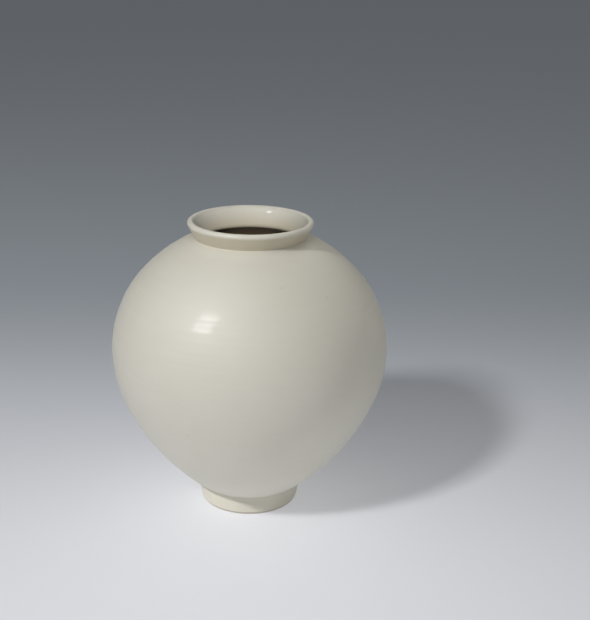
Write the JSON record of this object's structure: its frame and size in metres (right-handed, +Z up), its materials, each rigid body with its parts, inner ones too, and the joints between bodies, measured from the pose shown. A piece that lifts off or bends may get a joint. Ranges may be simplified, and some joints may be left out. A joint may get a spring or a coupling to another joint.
{
  "type": "moon jar",
  "caption": "Round-bodied white porcelain jar with a low flared mouth and a narrow foot ring, made of thrown bowls luted rim to rim and covered in a semi-gloss ivory glaze.",
  "frame": {"origin": "on the jar's axis, in the plane of the foot's standing rim", "axes": "+Z up along the jar's turning axis, towards the mouth; +X and +Y lie in the plane it stands on and are alike"},
  "size_m": [0.3999, 0.4, 0.43],
  "materials": {
    "porcelain_clay": "bare fired porcelain, matt, fine grained and slightly warm",
    "luting_slip": "fired slip of the same clay, matt",
    "ivory_glaze": "semi-gloss milky glaze, ivory white, over faint throwing lines"
  },
  "bodies": {
    "root": {"lower_bowl": "porcelain_clay", "waist_slip": "luting_slip", "upper_bowl": "porcelain_clay", "neck_slip": "luting_slip", "mouth_collar": "porcelain_clay", "foot_slip": "luting_slip", "foot_ring": "porcelain_clay", "outer_glaze": "ivory_glaze", "liner_glaze": "ivory_glaze", "base_glaze": "ivory_glaze"}
  },
  "joints": []
}
